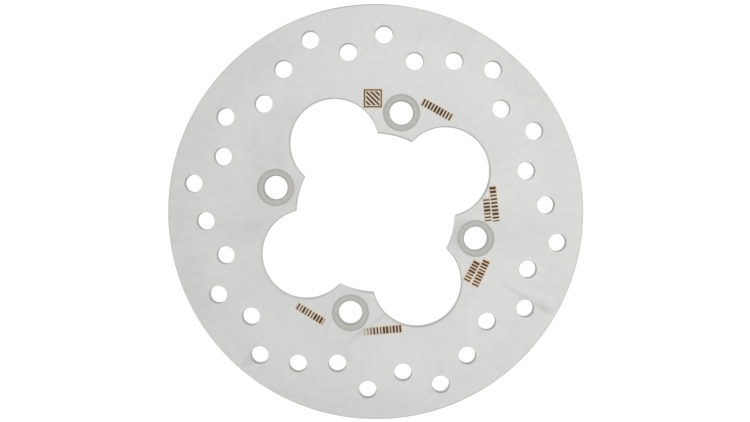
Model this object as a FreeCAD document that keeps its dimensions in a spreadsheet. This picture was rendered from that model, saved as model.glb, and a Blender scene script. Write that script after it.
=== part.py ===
"""Solid (fixed) motorcycle / scooter brake disc, parametric FreeCAD document.

The disc is one plate of brake-disc stainless steel: laser cut, machined and
face ground. Nothing is riveted, pressed or screwed into it, so the document
holds one body.

Frame: millimetres, +Z along the wheel axle pointing outboard (the side the
bolt heads and the laser marks are on). The origin is the centre of the bolt
circle on the hub-side face, so the plate lies between z = 0 and z = thickness.
+X is the reference direction for every angle, counted towards +Y.
"""
import FreeCAD, Part
import math
import os

import Sketcher

doc = FreeCAD.newDocument("BrakeDisc")

# ---------------------------------------------------------------- dimensions
DIMENSIONS = [
    # alias, value (mm or degrees), what it is
    ("disc_diameter", 180.0, "outside diameter of the friction ring"),
    ("disc_thickness", 5.0, "new thickness over both ground faces"),
    ("rim_break", 0.4, "45 degree edge break on both outer edges"),
    ("pilot_diameter", 68.8, "four short arcs that centre the disc on the hub spigot"),
    ("pilot_chamfer", 0.6, "turned 45 degree lead-in at both ends of the pilot arcs"),
    ("cut_overrun", 1.0, "how far the lead-in's cutting profile runs past the metal"),
    ("lobe_centre_radius", 35.1, "axle centre to the centre of each weight-saving lobe"),
    ("lobe_radius", 19.25, "radius of each lobe of the central opening"),
    ("lobe_angle", 30.7, "angle of the first lobe"),
    ("tab_corner_radius", 0.6, "corner radius where a lobe runs into a pilot arc"),
    ("opening_break", 0.4, "edge break of the lobes"),
    ("bolt_circle", 89.4, "pitch circle diameter of the mounting holes"),
    ("bolt_angle", 75.7, "angle of the first mounting hole"),
    ("bolt_count", 4, "mounting tabs and holes, evenly spaced, with a lobe between each two"),
    ("bolt_hole_diameter", 10.3, "mounting hole, clear for a shouldered disc bolt"),
    ("seat_diameter", 16.1, "spot-faced ring under each bolt head"),
    ("seat_depth", 0.25, "depth of the spot face below the ground face"),
    ("bolt_hole_break", 0.25, "edge break of the mounting holes"),
    ("vent_diameter", 7.75, "cleaning and venting holes"),
    ("vent_break", 0.1, "edge break of the vent holes"),
    ("vent_sectors", 6, "equal sectors that repeat the vent pattern"),
    ("vent_radius_one", 73.7, "pattern hole 1, distance from the axle"),
    ("vent_angle_one", 2.68, "pattern hole 1, angle"),
    ("vent_radius_two", 67.55, "pattern hole 2, distance from the axle"),
    ("vent_angle_two", 15.68, "pattern hole 2, angle"),
    ("vent_radius_three", 77.0, "pattern hole 3, distance from the axle"),
    ("vent_angle_three", 27.38, "pattern hole 3, angle"),
    ("vent_radius_four", 70.35, "pattern hole 4, distance from the axle"),
    ("vent_angle_four", 39.68, "pattern hole 4, angle"),
    ("vent_radius_five", 79.8, "pattern hole 5, distance from the axle"),
    ("vent_angle_five", 50.74, "pattern hole 5, angle"),
]
VENTS = ("one", "two", "three", "four", "five")

sheet = doc.addObject("Spreadsheet::Sheet", "Dims")
for row, (alias, value, note) in enumerate(DIMENSIONS, start=1):
    sheet.set("A%d" % row, alias)
    sheet.set("B%d" % row, str(value))
    sheet.set("C%d" % row, note)
    sheet.setAlias("B%d" % row, alias)
doc.recompute()


def dim(alias):
    """A driving dimension as a plain number."""
    return float(sheet.get(alias))


# ------------------------------------------------------------------- helpers
def origin_plane(body, role):
    for feature in body.Origin.OriginFeatures:
        if feature.Role == role:
            return feature
    raise RuntimeError("no origin plane " + role)


def new_sketch(body, name, height=None):
    """A sketch on the body's XY plane, lifted to a height given as an expression."""
    sketch = body.newObject("Sketcher::SketchObject", name)
    sketch.AttachmentSupport = [(origin_plane(body, "XY_Plane"), "")]
    sketch.MapMode = "FlatFace"
    if height is not None:
        sketch.setExpression(".AttachmentOffset.Base.z", height)
    return sketch


def centred_circle(sketch, diameter):
    """A circle on the sketch origin, its diameter bound to a sheet cell."""
    gid = sketch.addGeometry(
        Part.Circle(FreeCAD.Vector(0, 0, 0), FreeCAD.Vector(0, 0, 1), dim(diameter) / 2), False
    )
    sketch.addConstraint(Sketcher.Constraint("Coincident", gid, 3, -1, 1))
    c = sketch.addConstraint(Sketcher.Constraint("Diameter", gid, dim(diameter)))
    sketch.setExpression("Constraints[%d]" % c, "Dims." + diameter)
    return gid


def polar_circle(sketch, radius, angle, size, size_is_radius=False):
    """A circle whose centre is given by polar coordinates.

    radius, angle and size are expressions over the sheet; angle is in degrees.
    """
    def value(expression):
        return sheet_number(expression)

    r, a = value(radius), math.radians(value(angle))
    x, y = r * math.cos(a), r * math.sin(a)
    s = value(size)
    gid = sketch.addGeometry(
        Part.Circle(FreeCAD.Vector(x, y, 0), FreeCAD.Vector(0, 0, 1), s if size_is_radius else s / 2),
        False,
    )
    cx = sketch.addConstraint(Sketcher.Constraint("DistanceX", -1, 1, gid, 3, x))
    sketch.setExpression("Constraints[%d]" % cx, "%s * cos(%s * 1deg)" % (radius, angle))
    cy = sketch.addConstraint(Sketcher.Constraint("DistanceY", -1, 1, gid, 3, y))
    sketch.setExpression("Constraints[%d]" % cy, "%s * sin(%s * 1deg)" % (radius, angle))
    kind = "Radius" if size_is_radius else "Diameter"
    cd = sketch.addConstraint(Sketcher.Constraint(kind, gid, s))
    sketch.setExpression("Constraints[%d]" % cd, size)
    return gid


def sheet_number(expression):
    """The number behind 'Dims.alias' or 'Dims.alias / 2'."""
    text = expression.replace("Dims.", "")
    if "/" in text:
        name, divisor = text.split("/")
        return dim(name.strip()) / float(divisor)
    return dim(text.strip())


def polar_pattern(body, name, feature, sketch, count):
    """Repeat a feature round the axle."""
    pattern = body.newObject("PartDesign::PolarPattern", name)
    pattern.Originals = [feature]
    pattern.Axis = (sketch, ["N_Axis"])
    pattern.Angle = 360
    pattern.Occurrences = int(dim(count))
    pattern.setExpression("Occurrences", "Dims." + count)
    body.Tip = pattern
    doc.recompute()
    return pattern


def circle_edges(shape, radius, heights, tol=1e-4):
    """Names of the full or part circles of this radius that lie at these heights."""
    names = []
    for i, edge in enumerate(shape.Edges, start=1):
        curve = edge.Curve
        if not isinstance(curve, Part.Circle) or abs(abs(curve.Axis.z) - 1) > 1e-6:
            continue
        if abs(curve.Radius - radius) < tol and any(abs(curve.Center.z - z) < tol for z in heights):
            names.append("Edge%d" % i)
    return names


def chamfer(body, name, base, edges, size):
    if not edges:
        raise RuntimeError(name + " found no edges")
    c = body.newObject("PartDesign::Chamfer", name)
    c.Base = (base, edges)
    c.Size = dim(size)
    c.setExpression("Size", "Dims." + size)
    body.Tip = c
    doc.recompute()
    return c


def removed(before, after, what):
    """Stop if a cutting feature took nothing away."""
    lost = before.Volume - after.Volume
    if lost <= 0:
        raise RuntimeError(what + " removed no material")
    return lost


# ---------------------------------------------------------------- brake disc
body = doc.addObject("PartDesign::Body", "BrakeDisc")
body.Label = "brake_disc"
body.Placement = FreeCAD.Placement(FreeCAD.Vector(0, 0, 0), FreeCAD.Rotation(0, 0, 0))

# blank: a round plate standing on the hub-side face
blank_sketch = new_sketch(body, "BlankSketch")
centred_circle(blank_sketch, "disc_diameter")
blank = body.newObject("PartDesign::Pad", "Blank")
blank.Profile = blank_sketch
blank.Length = dim("disc_thickness")
blank.setExpression("Length", "Dims.disc_thickness")
doc.recompute()
expected = math.pi * (dim("disc_diameter") / 2) ** 2 * dim("disc_thickness")
if abs(blank.Shape.Volume - expected) > 1e-3 * expected:
    raise RuntimeError("the blank has the wrong volume")


def through_pocket(name, sketch):
    """A pocket from the hub-side face up through the whole plate."""
    before = body.Tip.Shape.copy()
    pocket = body.newObject("PartDesign::Pocket", name)
    pocket.Profile = sketch
    pocket.Type = "ThroughAll"
    pocket.Reversed = True
    body.Tip = pocket
    doc.recompute()
    return pocket, removed(before, pocket.Shape, name)


# central opening: one quarter of it is drawn and repeated. Each quarter runs from the middle of one
# mounting tab to the middle of the next: half a pilot arc, a rounded tab corner, the lobe, a rounded
# tab corner, half a pilot arc, and back to the axle
opening_sketch = new_sketch(body, "OpeningSketch")
pilot_r, lobe_r, corner_r = dim("pilot_diameter") / 2, dim("lobe_radius"), dim("tab_corner_radius")
lobe_d, lobe_a = dim("lobe_centre_radius"), math.radians(dim("lobe_angle"))
start_a = math.radians(dim("bolt_angle") - 360.0 / dim("bolt_count"))
end_a = math.radians(dim("bolt_angle"))


def at(radius, angle):
    return FreeCAD.Vector(radius * math.cos(angle), radius * math.sin(angle), 0)


lobe_centre = at(lobe_d, lobe_a)
# a corner's centre is in the tab, outside both the pilot circle and the lobe circle
corner_swing = math.acos(
    (lobe_d ** 2 + (pilot_r + corner_r) ** 2 - (lobe_r + corner_r) ** 2)
    / (2 * lobe_d * (pilot_r + corner_r))
)


def arc(centre, radius, start, end):
    """Anticlockwise arc from one point to another."""
    a0 = math.atan2(start.y - centre.y, start.x - centre.x)
    a1 = math.atan2(end.y - centre.y, end.x - centre.x)
    while a1 <= a0:
        a1 += 2 * math.pi
    return Part.ArcOfCircle(Part.Circle(centre, FreeCAD.Vector(0, 0, 1), radius), a0, a1)


origin = FreeCAD.Vector(0, 0, 0)
corner_one = at(pilot_r + corner_r, lobe_a - corner_swing)
corner_two = at(pilot_r + corner_r, lobe_a + corner_swing)
tab_one, tab_two = at(pilot_r, start_a), at(pilot_r, end_a)
pilot_one, pilot_two = at(pilot_r, lobe_a - corner_swing), at(pilot_r, lobe_a + corner_swing)
lobe_one = lobe_centre + (corner_one - lobe_centre) * (lobe_r / (lobe_r + corner_r))
lobe_two = lobe_centre + (corner_two - lobe_centre) * (lobe_r / (lobe_r + corner_r))
(g_in, g_pilot_one, g_corner_one, g_lobe, g_corner_two, g_pilot_two, g_out) = opening_sketch.addGeometry(
    [
        Part.LineSegment(origin, tab_one),
        arc(origin, pilot_r, tab_one, pilot_one),
        arc(corner_one, corner_r, lobe_one, pilot_one),
        arc(lobe_centre, lobe_r, lobe_one, lobe_two),
        arc(corner_two, corner_r, pilot_two, lobe_two),
        arc(origin, pilot_r, pilot_two, tab_two),
        Part.LineSegment(tab_two, origin),
    ],
    False,
)
for constraint in (
    ("Coincident", g_in, 1, -1, 1),
    ("Coincident", g_out, 2, -1, 1),
    ("Coincident", g_pilot_one, 3, -1, 1),
    ("Coincident", g_pilot_two, 3, -1, 1),
    ("Coincident", g_in, 2, g_pilot_one, 1),
    ("Coincident", g_out, 1, g_pilot_two, 2),
    ("Tangent", g_pilot_one, 2, g_corner_one, 2),
    ("Tangent", g_corner_one, 1, g_lobe, 1),
    ("Tangent", g_lobe, 2, g_corner_two, 2),
    ("Tangent", g_corner_two, 1, g_pilot_two, 1),
    ("Equal", g_pilot_one, g_pilot_two),
    ("Equal", g_corner_one, g_corner_two),
):
    opening_sketch.addConstraint(Sketcher.Constraint(*constraint))
for constraint, expression in (
    (("Radius", g_pilot_one, pilot_r), "Dims.pilot_diameter / 2"),
    (("Radius", g_corner_one, corner_r), "Dims.tab_corner_radius"),
    (("Radius", g_lobe, lobe_r), "Dims.lobe_radius"),
    (("DistanceX", -1, 1, g_lobe, 3, lobe_centre.x), "Dims.lobe_centre_radius * cos(Dims.lobe_angle * 1deg)"),
    (("DistanceY", -1, 1, g_lobe, 3, lobe_centre.y), "Dims.lobe_centre_radius * sin(Dims.lobe_angle * 1deg)"),
    (("Angle", -1, 1, g_out, 2, end_a), "Dims.bolt_angle * 1deg"),
    (("Angle", g_in, 1, g_out, 2, end_a - start_a), "360deg / Dims.bolt_count"),
):
    index = opening_sketch.addConstraint(Sketcher.Constraint(*constraint))
    opening_sketch.setExpression("Constraints[%d]" % index, expression)
doc.recompute()
if opening_sketch.solve() != 0:
    raise RuntimeError("the opening sketch does not solve")
quarter, lost = through_pocket("OpeningQuarter", opening_sketch)
opening = polar_pattern(body, "Opening", quarter, opening_sketch, "bolt_count")
removed(quarter.Shape, opening.Shape, "Opening")

# mounting holes: one drilled hole with its spot-faced ring, repeated round the axle
bolt_sketch = new_sketch(body, "BoltSketch", "Dims.disc_thickness")
polar_circle(bolt_sketch, "Dims.bolt_circle / 2", "Dims.bolt_angle", "Dims.bolt_hole_diameter")
doc.recompute()
before = body.Tip.Shape.copy()
bolt_hole = body.newObject("PartDesign::Hole", "BoltHole")
bolt_hole.Profile = bolt_sketch
doc.recompute()
bolt_hole.DepthType = "ThroughAll"
bolt_hole.Threaded = False
bolt_hole.Diameter = dim("bolt_hole_diameter")
bolt_hole.setExpression("Diameter", "Dims.bolt_hole_diameter")
bolt_hole.HoleCutType = "Counterbore"
bolt_hole.HoleCutDiameter = dim("seat_diameter")
bolt_hole.setExpression("HoleCutDiameter", "Dims.seat_diameter")
bolt_hole.HoleCutDepth = dim("seat_depth")
bolt_hole.setExpression("HoleCutDepth", "Dims.seat_depth")
body.Tip = bolt_hole
doc.recompute()
lost = removed(before, bolt_hole.Shape, "BoltHole")
expected = math.pi / 4 * (
    dim("bolt_hole_diameter") ** 2 * (dim("disc_thickness") - dim("seat_depth"))
    + dim("seat_diameter") ** 2 * dim("seat_depth")
)
if abs(lost - expected) > 1e-3 * expected:
    raise RuntimeError("the mounting hole removed %.2f mm3, not %.2f" % (lost, expected))
bolt_holes = polar_pattern(body, "BoltHoles", bolt_hole, bolt_sketch, "bolt_count")
removed(bolt_hole.Shape, bolt_holes.Shape, "BoltHoles")

# vent holes: five to a sector at five different radii, so that they sweep the whole pad track
vent_sketch = new_sketch(body, "VentSketch")
for word in VENTS:
    polar_circle(
        vent_sketch, "Dims.vent_radius_" + word, "Dims.vent_angle_" + word, "Dims.vent_diameter"
    )
vent, lost = through_pocket("VentSector", vent_sketch)
expected = len(VENTS) * math.pi / 4 * dim("vent_diameter") ** 2 * dim("disc_thickness")
if abs(lost - expected) > 1e-3 * expected:
    raise RuntimeError("a vent hole is missing from the sector")
vents = polar_pattern(body, "Vents", vent, vent_sketch, "vent_sectors")
removed(vent.Shape, vents.Shape, "Vents")

# edge breaks: outer rim, vent holes, mounting holes, central opening
thick = dim("disc_thickness")
faces = (0.0, thick)
before = body.Tip.Shape.copy()
rim = chamfer(
    body, "RimBreak", body.Tip, circle_edges(body.Tip.Shape, dim("disc_diameter") / 2, faces), "rim_break"
)
removed(before, rim.Shape, "RimBreak")

before = rim.Shape.copy()
vent_edges = circle_edges(rim.Shape, dim("vent_diameter") / 2, faces)
if len(vent_edges) != 2 * len(VENTS) * int(dim("vent_sectors")):
    raise RuntimeError("expected two edges per vent hole, found %d" % len(vent_edges))
vent_break = chamfer(body, "VentBreak", rim, vent_edges, "vent_break")
removed(before, vent_break.Shape, "VentBreak")

before = vent_break.Shape.copy()
bolt_edges = circle_edges(
    vent_break.Shape, dim("bolt_hole_diameter") / 2, (0.0, thick - dim("seat_depth"))
)
if len(bolt_edges) != 2 * int(dim("bolt_count")):
    raise RuntimeError("expected two edges per mounting hole, found %d" % len(bolt_edges))
bolt_break = chamfer(body, "BoltHoleBreak", vent_break, bolt_edges, "bolt_hole_break")
removed(before, bolt_break.Shape, "BoltHoleBreak")


def cone_cut(name, radius, size, centre=None):
    """A 45 degree break at both faces, turned round an upright axis.

    radius and size are expressions over the sheet. The break meets only the metal that stands on that
    radius. centre gives the axis as two expressions, and is left out for the wheel axle.
    """
    sketch = body.newObject("Sketcher::SketchObject", name + "Sketch")
    sketch.AttachmentSupport = [(origin_plane(body, "XZ_Plane"), "")]
    sketch.MapMode = "FlatFace"
    if centre is not None:
        sketch.setExpression(".AttachmentOffset.Base.x", centre[0])
        sketch.setExpression(".AttachmentOffset.Base.z", "-(%s)" % centre[1])
    r, s, over = sheet_number(radius), sheet_number(size), dim("cut_overrun")
    for level, tip, level_is, tip_is in (
        (thick + over, thick - s - over, "Dims.disc_thickness + Dims.cut_overrun",
         "Dims.disc_thickness - %s - Dims.cut_overrun" % size),
        (-over, s + over, "-Dims.cut_overrun", "%s + Dims.cut_overrun" % size),
    ):
        near = FreeCAD.Vector(r - over, level, 0)
        far = FreeCAD.Vector(r + s + over, level, 0)
        end = FreeCAD.Vector(r - over, tip, 0)
        a, b, c = sketch.addGeometry(
            [Part.LineSegment(near, far), Part.LineSegment(far, end), Part.LineSegment(end, near)], False
        )
        for constraint in (
            ("Coincident", a, 2, b, 1),
            ("Coincident", b, 2, c, 1),
            ("Coincident", c, 2, a, 1),
            ("Horizontal", a),
            ("Vertical", c),
        ):
            sketch.addConstraint(Sketcher.Constraint(*constraint))
        for constraint, expression in (
            (("DistanceX", -1, 1, a, 1, near.x), "%s - Dims.cut_overrun" % radius),
            (("DistanceY", -1, 1, a, 1, level), level_is),
            (("DistanceX", -1, 1, a, 2, far.x), "%s + %s + Dims.cut_overrun" % (radius, size)),
            (("DistanceY", -1, 1, c, 1, tip), tip_is),
        ):
            index = sketch.addConstraint(Sketcher.Constraint(*constraint))
            sketch.setExpression("Constraints[%d]" % index, expression)
    doc.recompute()
    if sketch.solve() != 0:
        raise RuntimeError(name + " sketch does not solve")
    before = body.Tip.Shape.copy()
    groove = body.newObject("PartDesign::Groove", name)
    groove.Profile = sketch
    groove.ReferenceAxis = (sketch, ["V_Axis"])
    groove.Angle = 360
    body.Tip = groove
    doc.recompute()
    removed(before, groove.Shape, name)
    return groove


# edge break of the first lobe, repeated for the others
lobe_cut = cone_cut(
    "LobeBreak",
    "Dims.lobe_radius",
    "Dims.opening_break",
    ("Dims.lobe_centre_radius * cos(Dims.lobe_angle * 1deg)", "Dims.lobe_centre_radius * sin(Dims.lobe_angle * 1deg)"),
)
lobe_breaks = polar_pattern(body, "LobeBreaks", lobe_cut, opening_sketch, "bolt_count")
removed(lobe_cut.Shape, lobe_breaks.Shape, "LobeBreaks")

# lead-in of the pilot, which meets only the four tab ends
lead_in = cone_cut("PilotLeadIn", "Dims.pilot_diameter / 2", "Dims.pilot_chamfer")

doc.recompute()

# --------------------------------------------------------- checks and output
for obj in doc.Objects:
    bad = [s for s in obj.State if s in ("Invalid", "Error")]
    if bad:
        raise RuntimeError("%s is %s" % (obj.Label, bad))

subparts = [body]
for obj in subparts:
    if obj.Shape.isNull() or not obj.Shape.isValid():
        raise RuntimeError(obj.Label + " has no valid shape")
    if len(obj.Shape.Solids) != 1:
        raise RuntimeError("%s holds %d solids, not one" % (obj.Label, len(obj.Shape.Solids)))

os.makedirs("parts", exist_ok=True)
for obj in subparts:
    obj.Shape.exportStep("parts/%s.step" % obj.Label)
    box = obj.Shape.BoundBox
    print(
        "%s: %.3f x %.3f x %.3f mm, z %.3f to %.3f, volume %.1f mm3, %d faces"
        % (obj.Label, box.XLength, box.YLength, box.ZLength, box.ZMin, box.ZMax,
           obj.Shape.Volume, len(obj.Shape.Faces))
    )
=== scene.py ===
"""Looks for the brake disc: materials on the CAD disc, a plain white floor, soft studio light, camera.

Row frame, metres: +Z is the axle, outboard (the ground and marked face is at z = THICK), the hub-side
face is at z = 0 and lies on the floor. Material sizes below are in millimetres on the disc.
"""

import math

import bpy
from mathutils import Matrix, Vector

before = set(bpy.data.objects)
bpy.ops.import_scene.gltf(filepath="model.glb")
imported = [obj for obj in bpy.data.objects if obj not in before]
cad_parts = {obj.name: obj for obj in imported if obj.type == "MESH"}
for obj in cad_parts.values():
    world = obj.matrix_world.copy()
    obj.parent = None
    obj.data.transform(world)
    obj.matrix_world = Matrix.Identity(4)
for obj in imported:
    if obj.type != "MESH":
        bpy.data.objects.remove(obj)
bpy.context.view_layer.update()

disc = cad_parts["brake_disc"]

# ------------------------------------------------------------------ the disc's own sizes (mm)
THICK = 5.0
RADIUS = 90.0
PILOT_R = 34.4
BOLT_R = 44.7
BOLT_ANGLE = 75.7
RING_R = 8.05
BOLT_HOLE_R = 5.15
SEAT_Z = 4.75


# ------------------------------------------------------------------ node helper
class Nodes:
    """Short calls for building a node tree. Sockets and plain numbers mix freely as inputs."""

    def __init__(self, tree):
        self.tree = tree
        self.tree.nodes.clear()

    def new(self, kind, **props):
        n = self.tree.nodes.new(kind)
        for k, v in props.items():
            setattr(n, k, v)
        return n

    def put(self, socket, value):
        if isinstance(value, bpy.types.NodeSocket):
            self.tree.links.new(value, socket)
        else:
            socket.default_value = value

    def math(self, op, a, b=None, c=None, clamp=False):
        n = self.new("ShaderNodeMath", operation=op, use_clamp=clamp)
        self.put(n.inputs[0], a)
        if b is not None:
            self.put(n.inputs[1], b)
        if c is not None:
            self.put(n.inputs[2], c)
        return n.outputs[0]

    def vec(self, op, a, b=None, scale=None, out=0):
        n = self.new("ShaderNodeVectorMath", operation=op)
        self.put(n.inputs[0], a)
        if b is not None:
            self.put(n.inputs[1], b)
        if scale is not None:
            self.put(n.inputs["Scale"], scale)
        return n.outputs[out]

    def xyz(self, x, y, z):
        n = self.new("ShaderNodeCombineXYZ")
        for i, v in enumerate((x, y, z)):
            self.put(n.inputs[i], v)
        return n.outputs[0]

    def split(self, v):
        n = self.new("ShaderNodeSeparateXYZ")
        self.put(n.inputs[0], v)
        return n.outputs[0], n.outputs[1], n.outputs[2]

    def noise(self, vector, scale, detail=2.0, rough=0.5, distortion=0.0, out=0):
        n = self.new("ShaderNodeTexNoise", noise_dimensions="3D")
        self.put(n.inputs["Vector"], vector)
        self.put(n.inputs["Scale"], scale)
        self.put(n.inputs["Detail"], detail)
        self.put(n.inputs["Roughness"], rough)
        self.put(n.inputs["Distortion"], distortion)
        return n.outputs[out]

    def ramp(self, value, a, b, to_a=0.0, to_b=1.0, smooth=True):
        """Value a..b goes to to_a..to_b, held at the ends."""
        n = self.new("ShaderNodeMapRange", clamp=True, interpolation_type="SMOOTHSTEP" if smooth else "LINEAR")
        for i, v in enumerate((value, a, b, to_a, to_b)):
            self.put(n.inputs[i], v)
        return n.outputs[0]

    def mix(self, fac, a, b):
        n = self.new("ShaderNodeMix", data_type="RGBA", blend_type="MIX", clamp_factor=True)
        self.put(n.inputs[0], fac)
        self.put(n.inputs[6], a)
        self.put(n.inputs[7], b)
        return n.outputs[2]

    def shade(self, colour, factor):
        """A colour times a number."""
        return self.vec("SCALE", colour, scale=factor)

    def bump(self, height, strength, distance, normal=None):
        n = self.new("ShaderNodeBump")
        self.put(n.inputs["Strength"], strength)
        self.put(n.inputs["Distance"], distance)
        self.put(n.inputs["Height"], height)
        if normal is not None:
            self.put(n.inputs["Normal"], normal)
        return n.outputs[0]

    def where(self):
        """Object position in millimetres, and the radius from the axle."""
        tc = self.new("ShaderNodeTexCoord")
        p = self.vec("SCALE", tc.outputs["Object"], scale=1000.0)
        x, y, z = self.split(p)
        flat = self.xyz(x, y, 0.0)
        r = self.vec("LENGTH", flat, out=1)
        return p, x, y, z, flat, r

    def blob(self, flat, cx, cy, angle, long_r, short_r, power=1.0):
        """1 in the middle of a soft ellipse on the face, 0 outside it."""
        d = self.vec("SUBTRACT", flat, (cx, cy, 0.0))
        a = math.radians(angle)
        u = self.vec("DOT_PRODUCT", d, (math.cos(a) / long_r, math.sin(a) / long_r, 0.0), out=1)
        v = self.vec("DOT_PRODUCT", d, (-math.sin(a) / short_r, math.cos(a) / short_r, 0.0), out=1)
        q = self.math("ADD", self.math("MULTIPLY", u, u), self.math("MULTIPLY", v, v))
        f = self.ramp(q, 0.0, 1.0, 1.0, 0.0)
        return f if power == 1.0 else self.math("POWER", f, power)


def material(name):
    m = bpy.data.materials.new(name)
    m.use_nodes = True
    n = Nodes(m.node_tree)
    out = n.new("ShaderNodeOutputMaterial")
    bsdf = n.new("ShaderNodeBsdfPrincipled")
    n.tree.links.new(bsdf.outputs[0], out.inputs[0])
    return m, n, bsdf


def total(n, parts):
    s = parts[0]
    for p in parts[1:]:
        s = n.math("ADD", s, p)
    return s


# ------------------------------------------------------------------ laser marks: plain bars, no letters
def bar_group():
    """One burnt strip of plain upright bars. Outputs: burn (the bars), scorch (their brown edge), halo (heat tint)."""
    g = bpy.data.node_groups.new("burnt_bars", "ShaderNodeTree")
    for name, kind in (("Flat", "NodeSocketVector"), ("Centre", "NodeSocketVector"), ("Along", "NodeSocketVector"),
                       ("Across", "NodeSocketVector"), ("Half length", "NodeSocketFloat"),
                       ("Half height", "NodeSocketFloat"), ("Pitch", "NodeSocketFloat"), ("Seed", "NodeSocketFloat"),
                       ("Worn", "NodeSocketFloat")):
        g.interface.new_socket(name=name, in_out="INPUT", socket_type=kind)
    for name in ("Burn", "Scorch", "Halo"):
        g.interface.new_socket(name=name, in_out="OUTPUT", socket_type="NodeSocketFloat")
    n = Nodes(g)
    i = n.new("NodeGroupInput").outputs
    o = n.new("NodeGroupOutput").inputs
    d = n.vec("SUBTRACT", i["Flat"], i["Centre"])
    u = n.vec("DOT_PRODUCT", d, i["Along"], out=1)
    v = n.vec("DOT_PRODUCT", d, i["Across"], out=1)
    # a slightly uneven burn edge
    wob = n.math("MULTIPLY", n.math("SUBTRACT", n.noise(i["Flat"], 3.0, 2.0), 0.5), 0.22)
    # place along the strip in bars, each with its own width
    s = n.math("DIVIDE", n.math("ADD", u, i["Half length"]), i["Pitch"])
    cell = n.math("FLOOR", s)
    frac = n.math("SUBTRACT", s, cell)
    white = n.new("ShaderNodeTexWhiteNoise", noise_dimensions="2D")
    n.put(white.inputs["Vector"], n.xyz(cell, i["Seed"], 0.0))
    wide = n.math("MULTIPLY_ADD", white.outputs["Value"], 0.17, 0.165)  # half width, in pitches
    off = n.math("SUBTRACT", n.math("ABSOLUTE", n.math("SUBTRACT", frac, 0.5)), wide)
    bar_d = n.math("MULTIPLY", off, i["Pitch"])
    end_d = n.math("SUBTRACT", n.math("ABSOLUTE", u), i["Half length"])
    top_d = n.math("SUBTRACT", n.math("ABSOLUTE", v), i["Half height"])
    box_d = n.math("MAXIMUM", end_d, top_d)
    d_all = n.math("ADD", n.math("MAXIMUM", bar_d, box_d), wob)
    # the bars' lengths differ a little at either end, and the strip fades where it is worn
    fade = n.ramp(u, n.math("MULTIPLY", i["Half length"], -0.95), n.math("MULTIPLY", i["Half length"], -0.25), i["Worn"], 1.0)
    burn = n.math("MULTIPLY", n.ramp(d_all, 0.10, -0.06), fade)
    scorch = n.math("MULTIPLY", n.ramp(d_all, 0.42, 0.02), fade)
    halo = n.math("MULTIPLY", n.ramp(n.math("ADD", n.math("MAXIMUM", box_d, n.math("MULTIPLY", bar_d, 0.6)), wob), 0.95, 0.05), fade)
    n.tree.links.new(burn, o["Burn"])
    n.tree.links.new(scorch, o["Scorch"])
    n.tree.links.new(halo, o["Halo"])
    return g


# centre x, y (mm), direction (degrees), half length, half height, pitch (mm), how worn the far end is
STRIPS = [
    (26.4, 44.6, -29.3, 7.3, 1.50, 1.46, 1.0),
    (51.3, 4.0, -83.4, 7.6, 1.32, 1.60, 1.0),
    (48.2, 1.5, -84.6, 4.9, 1.32, 1.50, 1.0),
    (45.5, -26.2, -115.1, 6.2, 1.45, 1.38, 1.0),
    (41.6, -25.4, -118.8, 4.9, 1.45, 1.40, 1.0),
    (2.8, -51.0, 5.1, 8.5, 1.50, 1.42, 0.35),
    (-28.5, -43.8, -31.5, 6.8, 1.42, 1.44, 0.9),
]
# the small square device: centre and side (mm), turned (degrees)
DEVICE = (-1.3, 49.5, 7.7, 0.0)
BARS = bar_group()


def marks(n, flat):
    burns, scorches, halos = [], [], []
    for k, (cx, cy, deg, half_l, half_h, pitch, worn) in enumerate(STRIPS):
        a = math.radians(deg)
        grp = n.new("ShaderNodeGroup")
        grp.node_tree = BARS
        n.put(grp.inputs["Flat"], flat)
        n.put(grp.inputs["Centre"], (cx, cy, 0.0))
        n.put(grp.inputs["Along"], (math.cos(a), math.sin(a), 0.0))
        n.put(grp.inputs["Across"], (-math.sin(a), math.cos(a), 0.0))
        n.put(grp.inputs["Half length"], half_l)
        n.put(grp.inputs["Half height"], half_h)
        n.put(grp.inputs["Pitch"], pitch)
        n.put(grp.inputs["Seed"], 3.0 + 7.0 * k)
        n.put(grp.inputs["Worn"], worn)
        burns.append(grp.outputs["Burn"])
        scorches.append(grp.outputs["Scorch"])
        halos.append(grp.outputs["Halo"])
    # square device: a thin frame filled with plain slanted hatching
    cx, cy, side, deg = DEVICE
    a = math.radians(deg)
    d = n.vec("SUBTRACT", flat, (cx, cy, 0.0))
    u = n.vec("DOT_PRODUCT", d, (math.cos(a), math.sin(a), 0.0), out=1)
    v = n.vec("DOT_PRODUCT", d, (-math.sin(a), math.cos(a), 0.0), out=1)
    wob = n.math("MULTIPLY", n.math("SUBTRACT", n.noise(flat, 3.0, 2.0), 0.5), 0.18)
    box = n.math("MAXIMUM", n.math("ABSOLUTE", u), n.math("ABSOLUTE", v))
    edge = n.math("SUBTRACT", n.math("ABSOLUTE", n.math("SUBTRACT", box, side / 2 - 0.22)), 0.22)
    pitch = 1.50
    slant = n.math("ADD", n.math("MULTIPLY", u, 0.7071), n.math("MULTIPLY", v, 0.7071))
    hatch = n.math("SUBTRACT", n.math("PINGPONG", n.math("ADD", slant, 40.0 * pitch), pitch / 2), 0.35)
    inner = n.math("MAXIMUM", hatch, n.math("SUBTRACT", box, side / 2 - 0.95))
    dd = n.math("ADD", n.math("MINIMUM", edge, inner), wob)
    burns.append(n.ramp(dd, 0.10, -0.06))
    scorches.append(n.ramp(dd, 0.42, 0.02))
    halos.append(n.ramp(n.math("ADD", n.math("SUBTRACT", box, side / 2), wob), 0.95, 0.15))
    out = []
    for parts in (burns, scorches, halos):
        m = parts[0]
        for q in parts[1:]:
            m = n.math("MAXIMUM", m, q)
        out.append(m)
    return out


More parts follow.
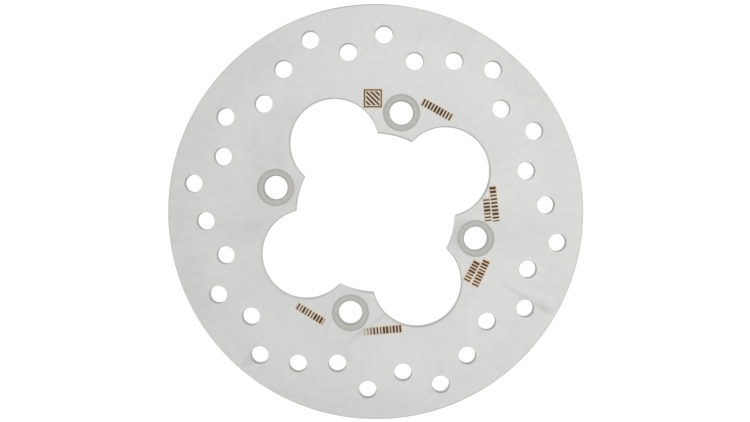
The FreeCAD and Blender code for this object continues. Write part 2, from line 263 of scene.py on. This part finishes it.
# ------------------------------------------------------------------ ground face
def ground_face():
    m, n, bsdf = material("ground_stainless")
    p, x, y, z, flat, r = n.where()
    unit = n.vec("NORMALIZE", flat)
    ux, uy, _ = n.split(unit)
    # fan, painted sheen: the face is ground round the axle, and the sheen this gives, which changes with direction and
    # hardly with radius, is painted into the tone; the fine part also varies the roughness
    painted_sheen_wide = n.noise(n.xyz(ux, uy, n.math("MULTIPLY", r, 0.004)), 1.7, 3.0, 0.55)
    painted_sheen_and_grain_fine = n.noise(n.xyz(n.math("MULTIPLY", ux, 30.0), n.math("MULTIPLY", uy, 30.0), n.math("MULTIPLY", r, 0.035)), 1.0, 3.0, 0.6)
    # grinding lines: fine along the radius, long round the axle, broken up by angle
    wander = n.math("MULTIPLY", n.noise(n.vec("SCALE", unit, scale=3.0), 1.0, 2.0), 1.6)
    line_r = n.math("ADD", r, wander)
    lines = n.noise(n.xyz(n.math("MULTIPLY", line_r, 5.5), n.math("MULTIPLY", ux, 7.0), n.math("MULTIPLY", uy, 7.0)), 1.0, 4.0, 0.62)
    hair = n.noise(n.xyz(n.math("MULTIPLY", line_r, 19.0), n.math("MULTIPLY", ux, 17.0), n.math("MULTIPLY", uy, 17.0)), 1.0, 2.0, 0.6)
    # handling: cloudy patches and small specks
    cloud = n.noise(flat, 0.032, 4.0, 0.6, 0.4)
    blotch = n.noise(flat, 0.30, 4.0, 0.65, 0.3)
    speck = n.ramp(n.noise(flat, 0.85, 3.0, 0.65), 0.56, 0.70)
    speck_zone = n.math("MULTIPLY", n.ramp(n.noise(flat, 0.03, 2.0), 0.50, 0.66), 0.6)
    for cx, cy, deg, lr, sr in ((-57.0, 60.0, 45.0, 27.0, 14.0), (-49.0, 28.0, 75.0, 20.0, 12.0), (-78.0, -20.0, 75.0, 16.0, 10.0), (-30.0, -72.0, 10.0, 22.0, 12.0)):
        speck_zone = n.math("MAXIMUM", speck_zone, n.blob(flat, cx, cy, deg, lr, sr))
    specks = n.math("MULTIPLY", speck, speck_zone)
    smudge_noise = n.ramp(n.noise(flat, 0.16, 4.0, 0.65), 0.30, 0.72)
    # patches, partly handling smudges and partly painted shade and sheen: the wide ones paint the left side and the
    # lower rim darker and the top and right lighter, a negative depth being lighter; x, y, direction, half length, half
    # width, depth
    smudge_shade_and_sheen = [
        (-43.0, 33.0, 60.0, 24.0, 13.0, 0.050),
        (-46.0, 14.0, 80.0, 20.0, 12.0, 0.045),
        (-66.0, -9.0, 5.0, 18.0, 8.0, 0.035),
        (-49.0, -7.0, 3.0, 21.0, 7.0, 0.040),
        (-79.0, -23.0, 40.0, 10.0, 6.0, 0.055),
        (-78.0, -37.0, -60.0, 10.0, 7.0, 0.050),
        (-53.8, -63.1, 43.0, 7.5, 2.6, 0.160),
        (-5.0, -51.5, 33.0, 15.0, 3.2, 0.035),
        (2.0, -45.3, 33.0, 3.8, 1.4, 0.150),
        (-36.0, -80.5, -18.0, 16.0, 5.0, 0.075),
        (28.0, -69.0, 75.0, 6.0, 2.4, 0.070),
        (45.7, -51.7, 70.0, 5.0, 3.0, 0.060),
        (40.0, -38.0, 20.0, 6.0, 4.0, 0.035),
        (66.0, -37.2, -31.0, 17.0, 2.8, 0.050),
        (73.6, -41.4, -33.0, 5.5, 2.3, 0.090),
        (-48.5, 64.0, 50.0, 12.0, 9.0, 0.035),
        (66.0, 54.0, -40.0, 12.0, 5.0, 0.025),
        (62.0, -8.0, -15.0, 22.0, 14.0, 0.040),
        (37.0, -9.2, 76.0, 9.0, 6.5, 0.130),
        (-36.5, 9.5, 76.0, 9.0, 6.5, 0.095),
        (-9.0, -37.0, -14.0, 9.0, 6.5, 0.055),
        (-6.2, -51.9, 36.0, 13.5, 1.1, 0.080),
        (64.0, -36.4, -31.0, 14.5, 1.3, 0.070),
        (2.0, -87.0, 0.0, 40.0, 8.0, 0.030),
        (-87.0, 2.0, 90.0, 22.0, 8.0, 0.030),
        (-62.0, 12.0, 90.0, 38.0, 22.0, 0.022),
        (22.0, 60.0, -20.0, 42.0, 22.0, -0.020),
        (-6.0, 83.0, 4.0, 40.0, 9.0, -0.030),
        (55.0, 30.0, 60.0, 26.0, 20.0, -0.016),
    ]
    shade_and_smudge_terms = []
    for cx, cy, deg, lr, sr, depth in smudge_shade_and_sheen:
        f = n.blob(flat, cx, cy, deg, lr, sr)
        shade_and_smudge_terms.append(n.math("MULTIPLY", n.math("MULTIPLY", f, n.math("MULTIPLY_ADD", smudge_noise, 0.55, 0.45)), depth))
    smudge_and_shade = total(n, shade_and_smudge_terms)
    # tone: around 1, the sum of all of them, the painted sheen of the fan and the painted shade and sheen of the
    # patches among them
    tone = total(n, [
        n.math("MULTIPLY_ADD", n.math("SUBTRACT", painted_sheen_wide, 0.5), 0.065, 1.0),
        n.math("MULTIPLY", n.math("SUBTRACT", painted_sheen_and_grain_fine, 0.5), 0.080),
        n.ramp(r, 48.0, 62.0, 0.004, 0.016),
        n.ramp(r, 70.0, 82.0, 0.0, -0.040),
        n.math("MULTIPLY", n.math("SUBTRACT", lines, 0.5), 0.060),
        n.math("MULTIPLY", n.math("SUBTRACT", hair, 0.5), 0.050),
        n.math("MULTIPLY", n.math("SUBTRACT", cloud, 0.5), 0.080),
        n.math("MULTIPLY", n.math("SUBTRACT", blotch, 0.5), 0.140),
        n.math("MULTIPLY", specks, -0.090),
        n.math("MULTIPLY", smudge_and_shade, -1.0),
    ])
    # painted shade: a darker line on the face where the edge break starts, at the outer rim
    rim_painted_shade = n.ramp(r, RADIUS - 1.5, RADIUS - 0.4)
    tone = n.math("MULTIPLY", tone, n.math("MULTIPLY_ADD", rim_painted_shade, -0.035, 1.0))
    # a thin darker line on the face behind the lead-in of one tab
    line = n.math("MULTIPLY", n.ramp(r, 34.9, 35.2), n.ramp(r, 36.2, 35.6))
    line = n.math("MULTIPLY", line, n.blob(flat, 34.4, -8.8, 76.0, 11.0, 5.0))
    tone = n.math("MULTIPLY_ADD", line, -0.045, tone)
    # slightly warm steel, a little warmer in the clouds
    steel = n.mix(n.ramp(cloud, 0.35, 0.65), (0.690, 0.692, 0.678, 1), (0.692, 0.691, 0.671, 1))
    steel = n.shade(steel, tone)
    burn, scorch, halo = marks(n, flat)
    up = n.ramp(z, THICK - 0.4, THICK - 0.2)
    burn = n.math("MULTIPLY", burn, up)
    scorch = n.math("MULTIPLY", scorch, up)
    halo = n.math("MULTIPLY", halo, up)
    # the burn is darker in its middle and patchy
    patch = n.ramp(n.noise(flat, 1.6, 3.0, 0.6), 0.30, 0.70)
    warm = n.math("MAXIMUM", n.math("MULTIPLY", n.ramp(n.noise(flat, 0.09, 1.0), 0.40, 0.62), 0.35), n.blob(flat, 43.5, -26.0, 60.0, 15.0, 11.0, 0.5))
    dark_brown = n.mix(warm, (0.030, 0.016, 0.006, 1), (0.036, 0.010, 0.001, 1))
    light_brown = n.mix(warm, (0.082, 0.047, 0.022, 1), (0.090, 0.030, 0.006, 1))
    brown = n.mix(patch, dark_brown, light_brown)
    tint = n.mix(patch, (0.78, 0.66, 0.50, 1), (0.77, 0.70, 0.58, 1))
    col = n.mix(n.math("MULTIPLY", halo, 0.55), steel, tint)
    col = n.mix(n.math("MULTIPLY", scorch, 0.60), col, n.mix(warm, (0.46, 0.34, 0.22, 1), (0.50, 0.28, 0.10, 1)))
    col = n.mix(n.math("MULTIPLY", burn, 0.97), col, brown)
    n.put(bsdf.inputs["Base Color"], col)
    bsdf.inputs["Specular IOR Level"].default_value = 0.25
    bsdf.inputs["Specular Tint"].default_value = (0.55, 0.55, 0.55, 1)  # duller at a grazing angle
    metal = n.math("SUBTRACT", 1.0, burn)
    n.put(bsdf.inputs["Metallic"], metal)
    rough = total(n, [
        n.math("MULTIPLY_ADD", n.math("SUBTRACT", lines, 0.5), 0.16, 0.36),
        n.math("MULTIPLY", n.math("SUBTRACT", cloud, 0.5), 0.10),
        n.math("MULTIPLY", n.math("SUBTRACT", painted_sheen_and_grain_fine, 0.5), 0.06),
        n.math("MULTIPLY", smudge_and_shade, 1.2),
        n.math("MULTIPLY", burn, 0.22),
    ])
    n.put(bsdf.inputs["Roughness"], n.math("MINIMUM", rough, 0.8))
    bsdf.inputs["Anisotropic"].default_value = 0.45
    tangent = n.new("ShaderNodeTangent", direction_type="RADIAL", axis="Z")
    n.put(bsdf.inputs["Tangent"], tangent.outputs[0])
    height = total(n, [
        n.math("MULTIPLY", lines, 1.0),
        n.math("MULTIPLY", hair, 0.6),
        n.math("MULTIPLY", burn, -1.2),
        n.math("MULTIPLY", specks, -0.8),
    ])
    n.put(bsdf.inputs["Normal"], n.bump(height, 0.35, 0.00002))
    return m


# ------------------------------------------------------------------ spot-faced rings
def nearest_hole(n, flat):
    """Distance from the nearest mounting hole's centre, mm."""
    best = None
    for k in range(4):
        a = math.radians(BOLT_ANGLE + 90.0 * k)
        d = n.vec("DISTANCE", flat, (BOLT_R * math.cos(a), BOLT_R * math.sin(a), 0.0), out=1)
        best = d if best is None else n.math("MINIMUM", best, d)
    return best


def ring_face():
    m, n, bsdf = material("spot_faced_steel")
    p, x, y, z, flat, r = n.where()
    d = nearest_hole(n, flat)
    cut = n.noise(n.xyz(n.math("MULTIPLY", d, 6.0), n.math("MULTIPLY", x, 0.12), n.math("MULTIPLY", y, 0.12)), 1.0, 3.0, 0.6)
    fine = n.noise(n.xyz(n.math("MULTIPLY", d, 17.0), n.math("MULTIPLY", x, 0.3), n.math("MULTIPLY", y, 0.3)), 1.0, 2.0, 0.6)
    cloud = n.noise(flat, 0.35, 3.0, 0.6)
    # painted shade: the ring is made darker towards its outer step and towards the hole's edge
    outer = n.ramp(d, RING_R - 1.7, RING_R - 0.1)
    inner = n.ramp(d, BOLT_HOLE_R + 1.0, BOLT_HOLE_R + 0.3)
    tone = total(n, [
        n.math("MULTIPLY_ADD", n.math("SUBTRACT", cut, 0.5), 0.16, 1.0),
        n.math("MULTIPLY", n.math("SUBTRACT", fine, 0.5), 0.10),
        n.math("MULTIPLY", n.math("SUBTRACT", cloud, 0.5), 0.16),
        n.math("MULTIPLY_ADD", outer, -0.10, 0.03),
        n.math("MULTIPLY", inner, -0.10),
    ])
    base = n.mix(n.ramp(cloud, 0.35, 0.65), (0.500, 0.498, 0.476, 1), (0.508, 0.492, 0.462, 1))
    n.put(bsdf.inputs["Base Color"], n.shade(base, tone))
    bsdf.inputs["Metallic"].default_value = 1.0
    n.put(bsdf.inputs["Roughness"], n.math("MULTIPLY_ADD", n.math("SUBTRACT", cut, 0.5), 0.20, 0.46))
    height = n.math("MULTIPLY_ADD", fine, 0.5, cut)
    n.put(bsdf.inputs["Normal"], n.bump(height, 0.5, 0.00003))
    return m


# ------------------------------------------------------------------ edges: walls of the holes, opening and rim
def edge_wall(name, light, rough_mid, shade_and_highlight_spots=()):
    m, n, bsdf = material(name)
    p, x, y, z, flat, r = n.where()
    # cutting lines run round the wall, a little wavy, and the wall is rougher and darker than the faces
    turn = n.noise(n.xyz(n.math("MULTIPLY", x, 0.10), n.math("MULTIPLY", y, 0.10), n.math("MULTIPLY", z, 5.0)), 1.0, 3.0, 0.6)
    stria = n.noise(n.xyz(n.math("MULTIPLY", x, 2.4), n.math("MULTIPLY", y, 2.4), n.math("MULTIPLY", z, 0.16)), 1.0, 3.0, 0.6)
    cloud = n.noise(p, 0.25, 3.0, 0.6)
    tone = total(n, [
        n.math("MULTIPLY_ADD", n.math("SUBTRACT", turn, 0.5), 0.20, 1.0),
        n.math("MULTIPLY", n.math("SUBTRACT", stria, 0.5), 0.22),
        n.math("MULTIPLY", n.math("SUBTRACT", cloud, 0.5), 0.14),
    ])
    # painted shade and painted highlights: places where the edge is painted darker or lighter: x, y, reach, change
    for cx, cy, reach, change in shade_and_highlight_spots:
        tone = n.math("MULTIPLY_ADD", n.blob(flat, cx, cy, 0.0, reach, reach), change, tone)
    base = n.mix(n.ramp(cloud, 0.35, 0.65), (light, light * 1.004, light * 0.99, 1), (light * 1.03, light * 1.015, light * 0.975, 1))
    n.put(bsdf.inputs["Base Color"], n.shade(base, tone))
    bsdf.inputs["Metallic"].default_value = 1.0
    n.put(bsdf.inputs["Roughness"], n.math("MULTIPLY_ADD", n.math("SUBTRACT", stria, 0.5), 0.24, rough_mid))
    height = n.math("ADD", turn, n.math("MULTIPLY", stria, 0.8))
    n.put(bsdf.inputs["Normal"], n.bump(height, 0.5, 0.00004))
    return m


# painted shade and highlights on the pilot's lead-in edges and on the rim: x, y, reach, change
RIM_PILOT_SHADE_AND_HIGHLIGHT = [
    (8.6, 33.6, 13.0, -0.12), (-33.6, 8.6, 13.0, -0.05), (-34.4, 3.2, 6.0, -0.10),
    (-8.6, -33.6, 13.0, -0.12), (-3.2, -34.4, 6.0, -0.12), (-13.5, -32.0, 6.0, 0.12), (33.6, -8.6, 13.0, -0.13),
    # the rim, going round from the top
    (-8.0, 89.6, 26.0, -0.32), (-30.0, 84.9, 26.0, -0.12), (-63.6, 63.6, 36.0, -0.14), (-86.9, 23.3, 36.0, -0.12),
    (-87.0, -23.0, 34.0, -0.09), (-10.0, -89.4, 34.0, -0.08), (23.3, -86.9, 24.0, -0.20), (45.0, -78.0, 26.0, -0.11),
]

# painted shade and highlights on the lobe edges: x, y, reach, change
LOBE_SHADE_AND_HIGHLIGHT = [
    (36.0, -41.0, 24.0, -0.16), (18.0, -50.0, 14.0, -0.10), (48.9, 13.6, 11.0, -0.20), (50.0, 6.0, 9.0, -0.10),
    (-37.0, 27.8, 10.0, -0.10), (-26.9, -37.0, 10.0, -0.10), (2.0, 40.0, 18.0, 0.06), (12.0, 42.0, 12.0, 0.06),
]

# ------------------------------------------------------------------ give the CAD disc its materials
mesh = disc.data
mesh.materials.clear()
for mat in (ground_face(), ring_face(), edge_wall("cut_edge_steel", 0.40, 0.50),
            edge_wall("turned_edge_steel", 0.58, 0.36, RIM_PILOT_SHADE_AND_HIGHLIGHT), edge_wall("milled_edge_steel", 0.50, 0.46, LOBE_SHADE_AND_HIGHLIGHT)):
    mesh.materials.append(mat)
for poly in mesh.polygons:
    nz = poly.normal.z
    cz = poly.center.z * 1000.0
    cr = math.hypot(poly.center.x, poly.center.y) * 1000.0
    on_lobe = min(abs(math.hypot(poly.center.x * 1000.0 - 35.1 * math.cos(math.radians(30.7 + 90.0 * k)),
                                 poly.center.y * 1000.0 - 35.1 * math.sin(math.radians(30.7 + 90.0 * k))) - 19.25) for k in range(4))
    off_tab = abs((math.degrees(math.atan2(poly.center.y, poly.center.x)) - BOLT_ANGLE + 45.0) % 90.0 - 45.0)
    if abs(nz) > 0.98 and (cz > THICK - 0.05 or cz < 0.05):
        poly.material_index = 0
    elif nz > 0.98 and abs(cz - SEAT_Z) < 0.05:
        poly.material_index = 1
    elif cr > RADIUS - 1.0 or (cr < PILOT_R + 0.7 and off_tab < 15.0):
        poly.material_index = 3
    elif on_lobe < 1.2 and cr < 56.0:
        poly.material_index = 4
    else:
        poly.material_index = 2

# ------------------------------------------------------------------ stage: plain white floor under the disc
half = 3.0
floor_mesh = bpy.data.meshes.new("floor")
floor_mesh.from_pydata([(-half, -half, -0.0003), (half, -half, -0.0003), (half, half, -0.0003), (-half, half, -0.0003)],
                       [], [(0, 1, 2, 3)])
floor = bpy.data.objects.new("floor", floor_mesh)
bpy.context.scene.collection.objects.link(floor)
fm = bpy.data.materials.new("floor_white")
fm.use_nodes = True
fn = Nodes(fm.node_tree)
fo = fn.new("ShaderNodeOutputMaterial")
fb = fn.new("ShaderNodeBsdfPrincipled")
fb.inputs["Base Color"].default_value = (0.12, 0.12, 0.12, 1)
fb.inputs["Roughness"].default_value = 0.9
fb.inputs["Specular IOR Level"].default_value = 0.0
fb.inputs["Emission Color"].default_value = (1, 1, 1, 1)
fb.inputs["Emission Strength"].default_value = 0.95
# seen from below the floor is clear, so the disc's hub-side face can be looked at
fg = fn.new("ShaderNodeNewGeometry")
ft = fn.new("ShaderNodeBsdfTransparent")
fx = fn.new("ShaderNodeMixShader")
fn.tree.links.new(fg.outputs["Backfacing"], fx.inputs[0])
fn.tree.links.new(fb.outputs[0], fx.inputs[1])
fn.tree.links.new(ft.outputs[0], fx.inputs[2])
fn.tree.links.new(fx.outputs[0], fo.inputs[0])
floor.data.materials.append(fm)


# ------------------------------------------------------------------ soft light
def area(name, place, target, size_x, size_y, watts, colour=(1, 1, 1)):
    light = bpy.data.lights.new(name, "AREA")
    light.shape = "RECTANGLE"
    light.size, light.size_y = size_x, size_y
    light.energy = watts
    light.color = colour
    o = bpy.data.objects.new(name, light)
    o.location = place
    o.rotation_mode = "QUATERNION"
    o.rotation_quaternion = (Vector(place) - Vector(target)).to_track_quat("Z", "Y")
    bpy.context.scene.collection.objects.link(o)
    o.visible_camera = False
    return o


world = bpy.data.worlds.new("studio")
bpy.context.scene.world = world
world.use_nodes = True
wn = Nodes(world.node_tree)
wo = wn.new("ShaderNodeOutputWorld")
wb = wn.new("ShaderNodeBackground")
wb.inputs["Color"].default_value = (1.0, 1.0, 1.0, 1)
wb.inputs["Strength"].default_value = 0.899
wn.tree.links.new(wb.outputs[0], wo.inputs[0])

area("key_right", (1.0, 0.25, 1.3), (0, 0, 0), 1.6, 1.8, 2.4)
# the low ones are wide, so that no side view finds a bright panel mirrored in the face
area("low_left", (-1.2, 0.35, 0.55), (0, 0, 0), 2.6, 1.2, 2.95)
area("low_left_front", (-1.15, -0.5, 0.5), (0, 0, 0), 2.2, 1.0, 1.4)
area("low_back", (0.0, 1.3, 0.45), (0, 0, 0), 2.6, 0.7, 1.75)
area("low_right", (1.3, 0.0, 0.4), (0, 0, 0), 2.2, 1.0, 1.55)

# ------------------------------------------------------------------ camera: the photograph's viewpoint
W, H = 750, 422
FOCAL_PX = 1112.6
face = Vector((0.0, 0.0, THICK / 1000.0))
eye = face + Vector((-0.0019, 0.0187, 0.4813))
cam_data = bpy.data.cameras.new("camera")
cam_data.sensor_width = 36.0
cam_data.lens = FOCAL_PX * 36.0 / W
cam_data.clip_start, cam_data.clip_end = 0.01, 50.0
cam = bpy.data.objects.new("camera", cam_data)
bpy.context.scene.collection.objects.link(cam)
bpy.context.scene.camera = cam
# where the disc's centre falls in the picture, in pixels right of and above the picture's middle
OFF_X, OFF_Y = 0.84, -2.04
aim = face - eye
dist = aim.length
forward = aim.normalized()
right = forward.cross(Vector((0, 1, 0))).normalized()
up = right.cross(forward).normalized()
target = face - right * (OFF_X * dist / FOCAL_PX) - up * (OFF_Y * dist / FOCAL_PX)
forward = (target - eye).normalized()
right = forward.cross(Vector((0, 1, 0))).normalized()
up = right.cross(forward).normalized()
cam.matrix_world = Matrix((
    (right.x, up.x, -forward.x, eye.x),
    (right.y, up.y, -forward.y, eye.y),
    (right.z, up.z, -forward.z, eye.z),
    (0, 0, 0, 1),
))

view = bpy.context.scene.view_settings
view.view_transform = "Standard"
view.look = "None"
view.exposure = 0.0
view.gamma = 1.0
